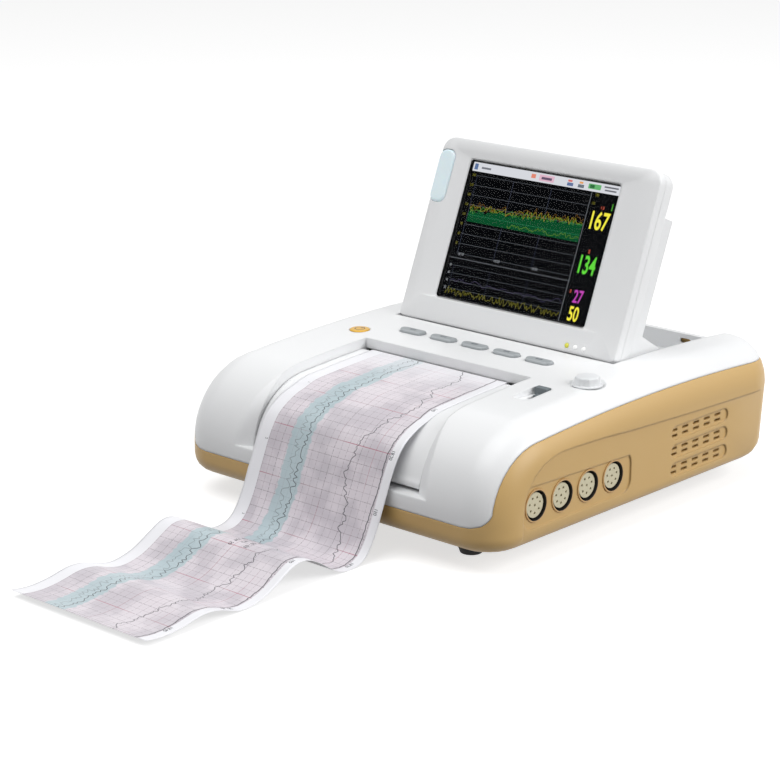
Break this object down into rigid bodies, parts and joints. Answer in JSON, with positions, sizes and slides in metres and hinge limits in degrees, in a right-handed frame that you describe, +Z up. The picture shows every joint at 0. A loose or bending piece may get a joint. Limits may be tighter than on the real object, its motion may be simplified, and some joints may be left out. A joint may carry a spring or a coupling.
{
  "type": "fetal monitor",
  "caption": "Table-top fetal monitor: folding colour display, strip-chart recorder under a curved paper door, key row, rotary knob, side probe sockets, slotted side vents.",
  "frame": {"origin": "on the table, under the middle of the casing's footprint", "axes": "+X to the right as seen from the front, where the probe sockets are, +Y to the rear, +Z up"},
  "size_m": [0.248, 0.4678, 0.1943],
  "materials": {
    "white_shell": "fine satin moulded",
    "beige_shell": "fine satin moulded",
    "door_shell": "fine satin moulded",
    "foot_rubber": "matte",
    "screw_steel": "zinc plated",
    "socket_ring": "satin",
    "insert": "satin",
    "board": "solder mask",
    "cell_sleeve": "shrink sleeve",
    "supply_tin": "tinned",
    "speaker_cone": "pressed paper",
    "inlet": "moulded",
    "port_shell": "plated",
    "stud_brass": "turned",
    "key_grey": "silicone satin",
    "key_gold": "silicone satin",
    "encoder_body": "moulded",
    "plunger": "moulded",
    "shaft_steel": "ground",
    "knob_grey": "satin",
    "tray": "moulded",
    "chart_pack": "folded chart paper",
    "chart_paper": "thermal chart paper",
    "frame_sheet": "folded sheet",
    "thermal_head": "extruded",
    "spring_steel": "drawn",
    "motor_can": "drawn",
    "gear_nylon": "acetal",
    "pinion_brass": "hobbed",
    "platen_rubber": "ground rubber",
    "bush": "acetal",
    "latch_grey": "satin",
    "head_white": "fine satin moulded",
    "lcd_body": "moulded",
    "lcd_glass": "polished",
    "lens_blue": "diffusing",
    "led_lens": "diffusing"
  },
  "bodies": {
    "base": {"bottom_case": "beige_shell", "top_case": "white_shell", "feet": "foot_rubber", "case_screws": "screw_steel", "socket_1": "socket_ring", "socket_2": "socket_ring", "socket_3": "socket_ring", "socket_4": "socket_ring", "socket_inserts": "insert", "socket_board": "board", "main_board": "board", "power_supply": "supply_tin", "battery_pack": "cell_sleeve", "speaker": "speaker_cone", "mains_inlet": "inlet", "data_ports": "port_shell", "ground_stud": "stud_brass", "key_board": "board", "encoder": "encoder_body", "paper_tray": "tray", "paper_pack": "chart_pack", "paper_strip": "chart_paper", "printer_frame": "frame_sheet", "frame_screws": "screw_steel", "print_head": "thermal_head", "print_head_springs": "spring_steel", "stepper_motor": "motor_can", "latch_spring": "spring_steel"},
    "display": {"head_bezel": "head_white", "head_back": "head_white", "lcd_panel": "lcd_body", "lcd_window": "lcd_glass", "display_board": "board", "alarm_lens": "lens_blue", "status_leds": "led_lens", "hinge_pins": "shaft_steel", "head_screws": "screw_steel"},
    "door": {"paper_door": "door_shell", "door_pins": "shaft_steel", "platen_bushes": "bush"},
    "platen": {"platen_roller": "platen_rubber", "platen_gear": "gear_nylon"},
    "idler": {"idler_gear": "gear_nylon"},
    "pinion": {"motor_pinion": "pinion_brass"},
    "latch": {"door_latch": "latch_grey"},
    "key_one": {"key_1": "key_grey"},
    "key_two": {"key_2": "key_grey"},
    "key_three": {"key_3": "key_grey"},
    "key_four": {"key_4": "key_grey"},
    "key_five": {"key_5": "key_grey"},
    "power": {"power_key": "key_gold"},
    "push": {"encoder_plunger": "plunger"},
    "dial": {"knob": "knob_grey", "encoder_shaft": "shaft_steel"}
  },
  "joints": [
    {"name": "display_tilt", "type": "hinge", "parent": "base", "child": "display", "pos_m": [0, 0.02134, 0.08159], "axis": [1, 0, 0], "range_deg": [-67.5, 10]},
    {"name": "door_swing", "type": "hinge", "parent": "base", "child": "door", "pos_m": [0, -0.1304, 0.0425], "axis": [1, 0, 0], "range_deg": [0, 80], "deforming": ["paper_strip"]},
    {"name": "platen_spin", "type": "hinge", "parent": "door", "child": "platen", "pos_m": [0, -0.0442, 0.069], "axis": [1, 0, 0], "continuous": true},
    {"name": "idler_spin", "type": "hinge", "parent": "base", "child": "idler", "pos_m": [0, -0.03971, 0.05469], "axis": [1, 0, 0], "continuous": true},
    {"name": "pinion_spin", "type": "hinge", "parent": "base", "child": "pinion", "pos_m": [0, -0.04252, 0.04148], "axis": [1, 0, 0], "continuous": true},
    {"name": "latch_pull", "type": "slide", "parent": "base", "child": "latch", "axis": [0, -1, 0], "range_m": [0, 0.005], "stiffness_N_per_m": 150, "springref_m": -0.001, "deforming": ["latch_spring"]},
    {"name": "key_one_press", "type": "slide", "parent": "base", "child": "key_one", "axis": [0, 0, -1], "range_m": [0, 0.001], "stiffness_N_per_m": 400, "springref_m": -0.0004},
    {"name": "key_two_press", "type": "slide", "parent": "base", "child": "key_two", "axis": [0, 0, -1], "range_m": [0, 0.001], "stiffness_N_per_m": 400, "springref_m": -0.0004},
    {"name": "key_three_press", "type": "slide", "parent": "base", "child": "key_three", "axis": [0, 0, -1], "range_m": [0, 0.001], "stiffness_N_per_m": 400, "springref_m": -0.0004},
    {"name": "key_four_press", "type": "slide", "parent": "base", "child": "key_four", "axis": [0, 0, -1], "range_m": [0, 0.001], "stiffness_N_per_m": 400, "springref_m": -0.0004},
    {"name": "key_five_press", "type": "slide", "parent": "base", "child": "key_five", "axis": [0, 0, -1], "range_m": [0, 0.001], "stiffness_N_per_m": 400, "springref_m": -0.0004},
    {"name": "power_press", "type": "slide", "parent": "base", "child": "power", "axis": [0, 0, -1], "range_m": [0, 0.001], "stiffness_N_per_m": 400, "springref_m": -0.0004},
    {"name": "dial_push", "type": "slide", "parent": "base", "child": "push", "axis": [0, 0, -1], "range_m": [0, 0.0005], "stiffness_N_per_m": 900, "springref_m": -0.0003},
    {"name": "dial_turn", "type": "hinge", "parent": "push", "child": "dial", "pos_m": [0.0978, -0.0265, 0.08], "axis": [0, 0, 1], "continuous": true}
  ],
  "couplings": [
    {"joint": "idler_spin", "follows": "platen_spin", "ratio": -0.66667},
    {"joint": "pinion_spin", "follows": "platen_spin", "ratio": 1.3333}
  ]
}
